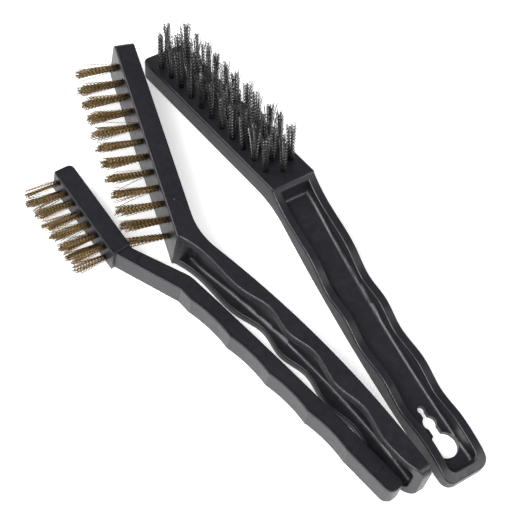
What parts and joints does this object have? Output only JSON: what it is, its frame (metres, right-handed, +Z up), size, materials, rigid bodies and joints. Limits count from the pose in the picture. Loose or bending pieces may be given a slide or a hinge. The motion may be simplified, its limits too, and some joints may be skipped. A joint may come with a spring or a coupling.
{
  "type": "wire brush set",
  "caption": "Set of wire scratch brushes with black plastic handles, laid out flat: large ones with channel grips and lobed hanging holes, a slim one with finger waves; steel and brass wire.",
  "frame": {"origin": "centre of the bottom of the whole laid-out set's bounding box, on the surface it lies on", "axes": "+Z up from the surface; +X along the longest extent of the layout, from the toes towards the handle ends; +Y from the handle ends' side towards the toes' side"},
  "size_m": [0.2169, 0.1902, 0.0516],
  "materials": {
    "black_plastic": "satin",
    "steel_wire": "drawn wire",
    "brass_wire": "drawn wire",
    "anchor_wire": "flat wire"
  },
  "bodies": {
    "brass_brush": {"brass_anchors_left": "anchor_wire", "brass_anchors_middle": "anchor_wire", "brass_anchors_right": "anchor_wire", "brass_handle": "black_plastic", "brass_tuft_heel": "brass_wire", "brass_tufts_left": "brass_wire", "brass_tufts_middle": "brass_wire", "brass_tufts_right": "brass_wire"},
    "steel_brush": {"steel_anchors_left": "anchor_wire", "steel_anchors_middle": "anchor_wire", "steel_anchors_right": "anchor_wire", "steel_handle": "black_plastic", "steel_tuft_heel": "steel_wire", "steel_tufts_left": "steel_wire", "steel_tufts_middle": "steel_wire", "steel_tufts_right": "steel_wire"},
    "small_brush": {"small_anchors_left": "anchor_wire", "small_anchors_right": "anchor_wire", "small_handle": "black_plastic", "small_tufts_left": "brass_wire", "small_tufts_right": "brass_wire"}
  },
  "joints": [
    {"name": "lift_steel_brush", "type": "slide", "parent": "brass_brush", "child": "steel_brush", "axis": [0, 0, 1], "range_m": [0, 0.12]},
    {"name": "lift_small_brush", "type": "slide", "parent": "brass_brush", "child": "small_brush", "axis": [0, 0, 1], "range_m": [0, 0.12]}
  ]
}
